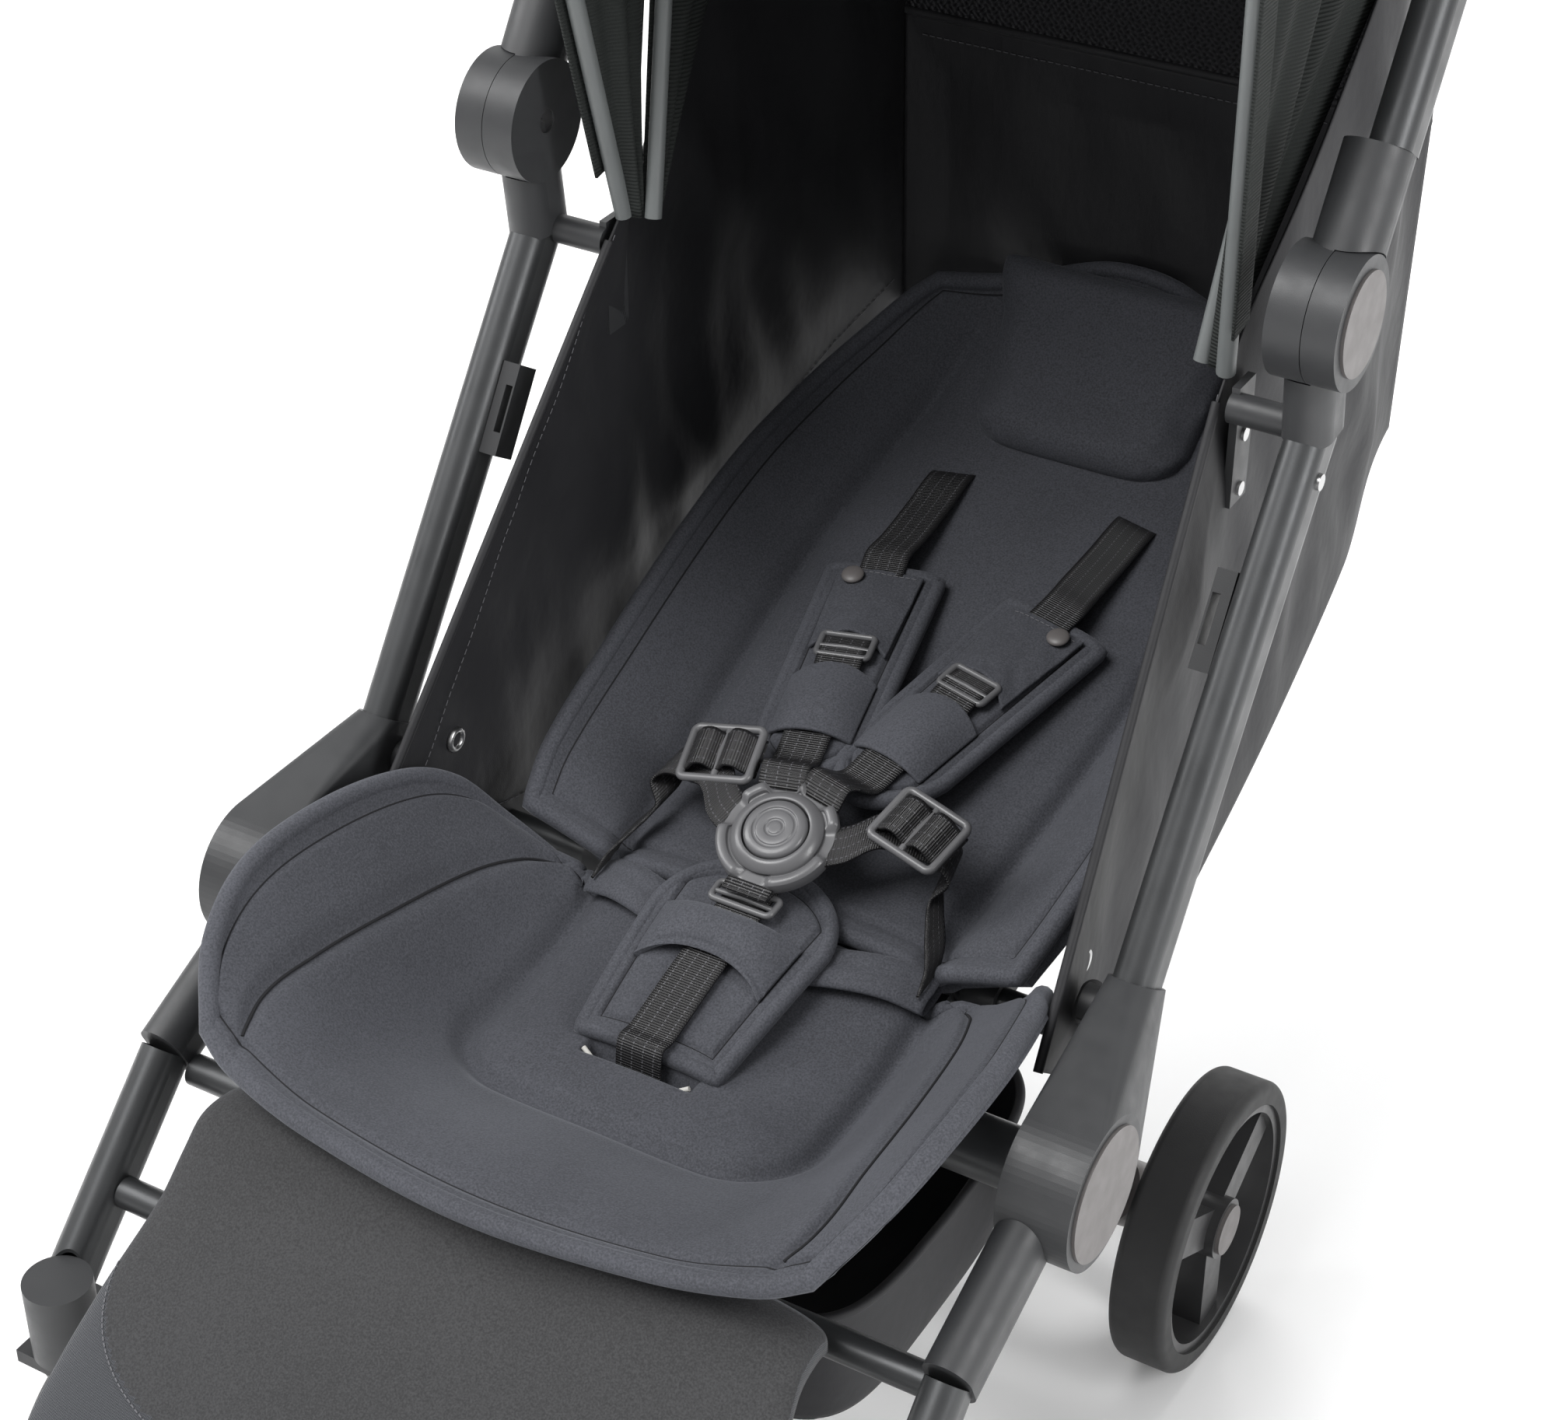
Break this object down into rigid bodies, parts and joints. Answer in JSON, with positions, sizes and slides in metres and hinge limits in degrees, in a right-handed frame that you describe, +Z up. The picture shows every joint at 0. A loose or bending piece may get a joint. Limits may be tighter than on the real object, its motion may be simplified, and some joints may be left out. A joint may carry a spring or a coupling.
{
  "type": "compact folding stroller",
  "caption": "Compact folding stroller with a padded insert, five-point harness, fan canopy, leg rest, basket, folding handle and four wheels.",
  "frame": {"origin": "on the ground, on the middle plane, half way from front to back", "axes": "+Z up, the child faces -Y, +X to the child's left hand"},
  "size_m": [0.48, 0.8109, 1.0513],
  "materials": {
    "frame_tube": "satin",
    "hinge_plastic": "satin",
    "cap_plastic": "satin",
    "steel": "satin",
    "wheel_plastic": "satin",
    "front_wheel": "satin",
    "tyre": "matte",
    "insert_fabric": "matte",
    "shell_fabric": "matte",
    "window_mesh": "matte",
    "canopy_fabric": "matte",
    "canopy_bow": "satin",
    "webbing": "satin",
    "buckle_plastic": "satin",
    "leg_rest_fabric": "matte",
    "back_panel": "matte",
    "grip_foam": "matte"
  },
  "bodies": {
    "chassis": {"main_tubes": "frame_tube", "hinge_housings": "hinge_plastic", "hinge_caps": "cap_plastic", "frame_pins": "steel", "knuckle_housings": "hinge_plastic", "knuckle_caps": "cap_plastic", "front_leg_brackets": "hinge_plastic", "front_leg_tubes": "frame_tube", "caster_housings": "hinge_plastic", "front_crossbar": "frame_tube", "seat_front_tube": "frame_tube", "seat_side_brackets": "hinge_plastic", "recline_tube": "frame_tube", "seat_rails": "frame_tube", "seat_base": "shell_fabric", "seat_cushion": "insert_fabric", "seat_wings": "insert_fabric", "side_walls": "shell_fabric", "back_wall": "shell_fabric", "window_panel": "window_mesh", "canopy_brackets": "hinge_plastic", "canopy_rear_fabric": "canopy_fabric", "frame_rivets": "steel", "strap_clips": "hinge_plastic", "basket": "shell_fabric", "crotch_strap": "webbing", "crotch_pad": "insert_fabric", "buckle_body": "buckle_plastic", "waist_straps": "webbing", "waist_adjusters": "cap_plastic"},
    "backrest": {"backrest_board": "back_panel", "backrest_cushion": "insert_fabric", "head_pillow": "insert_fabric", "shoulder_straps": "webbing", "shoulder_pads": "insert_fabric"},
    "canopy_mid": {"canopy_mid_bow": "canopy_bow", "canopy_mid_fabric": "canopy_fabric"},
    "canopy_front": {"canopy_front_bow": "canopy_bow"},
    "leg_rest": {"leg_rest_frame": "frame_tube", "leg_rest_panel": "leg_rest_fabric"},
    "handle": {"handle_arms": "hinge_plastic", "handle_tubes": "frame_tube", "handle_bar": "frame_tube", "handle_grip": "grip_foam"},
    "fold_button": {"fold_button": "cap_plastic"},
    "buckle_button": {"buckle_button": "buckle_plastic"},
    "rear_legs": {"rear_legs": "frame_tube", "rear_leg_boots": "cap_plastic", "rear_axle": "steel"},
    "brake_pedal": {"brake_pedal": "hinge_plastic"},
    "rear_wheel_left": {"rear_wheel_left": "wheel_plastic", "rear_tyre_left": "tyre", "rear_cap_left": "cap_plastic"},
    "rear_wheel_right": {"rear_wheel_right": "wheel_plastic", "rear_tyre_right": "tyre", "rear_cap_right": "cap_plastic"},
    "caster_left": {"caster_fork_left": "hinge_plastic"},
    "caster_right": {"caster_fork_right": "hinge_plastic"},
    "front_wheel_left": {"front_wheel_left": "front_wheel"},
    "front_wheel_right": {"front_wheel_right": "front_wheel"}
  },
  "joints": [
    {"name": "handle_fold", "type": "hinge", "parent": "chassis", "child": "handle", "pos_m": [0, 0.1124, 0.6206], "axis": [1, 0, 0], "range_deg": [0, 150]},
    {"name": "rear_leg_fold", "type": "hinge", "parent": "chassis", "child": "rear_legs", "pos_m": [0, -0.11973, 0.29917], "axis": [1, 0, 0], "range_deg": [-50, 0]},
    {"name": "recline", "type": "hinge", "parent": "chassis", "child": "backrest", "pos_m": [0, 0.01527, 0.26217], "axis": [1, 0, 0], "range_deg": [0, 40]},
    {"name": "canopy_mid_fold", "type": "hinge", "parent": "chassis", "child": "canopy_mid", "pos_m": [0, 0.13, 0.56], "axis": [1, 0, 0], "range_deg": [-20, 20]},
    {"name": "canopy_front_fold", "type": "hinge", "parent": "canopy_mid", "child": "canopy_front", "pos_m": [0, 0.13, 0.56], "axis": [1, 0, 0], "range_deg": [-20, 20]},
    {"name": "leg_rest_tilt", "type": "hinge", "parent": "chassis", "child": "leg_rest", "pos_m": [0, -0.24973, 0.25417], "axis": [1, 0, 0], "range_deg": [-33, 8]},
    {"name": "brake", "type": "hinge", "parent": "rear_legs", "child": "brake_pedal", "pos_m": [0, 0.10609, 0.082], "axis": [1, 0, 0], "range_deg": [-15, 0]},
    {"name": "fold_button_press", "type": "slide", "parent": "handle", "child": "fold_button", "axis": [0, 0, -1], "range_m": [0, 0.004], "stiffness_N_per_m": 400},
    {"name": "buckle_press", "type": "slide", "parent": "chassis", "child": "buckle_button", "axis": [0, 0.4226, -0.9063], "range_m": [0, 0.003], "stiffness_N_per_m": 400},
    {"name": "rear_spin_left", "type": "hinge", "parent": "rear_legs", "child": "rear_wheel_left", "pos_m": [-0.2, 0.10609, 0.082], "axis": [1, 0, 0], "continuous": true},
    {"name": "caster_swivel_left", "type": "hinge", "parent": "chassis", "child": "caster_left", "pos_m": [-0.207, -0.31773, 0.148], "axis": [0, 0, 1], "continuous": true},
    {"name": "front_spin_left", "type": "hinge", "parent": "caster_left", "child": "front_wheel_left", "pos_m": [-0.207, -0.28973, 0.068], "axis": [1, 0, 0], "continuous": true},
    {"name": "rear_spin_right", "type": "hinge", "parent": "rear_legs", "child": "rear_wheel_right", "pos_m": [0.2, 0.10609, 0.082], "axis": [1, 0, 0], "continuous": true},
    {"name": "caster_swivel_right", "type": "hinge", "parent": "chassis", "child": "caster_right", "pos_m": [0.207, -0.31773, 0.148], "axis": [0, 0, 1], "continuous": true},
    {"name": "front_spin_right", "type": "hinge", "parent": "caster_right", "child": "front_wheel_right", "pos_m": [0.207, -0.28973, 0.068], "axis": [1, 0, 0], "continuous": true}
  ],
  "couplings": [
    {"joint": "rear_leg_fold", "follows": "handle_fold", "ratio": -0.33333},
    {"joint": "canopy_front_fold", "follows": "canopy_mid_fold", "ratio": 1}
  ]
}
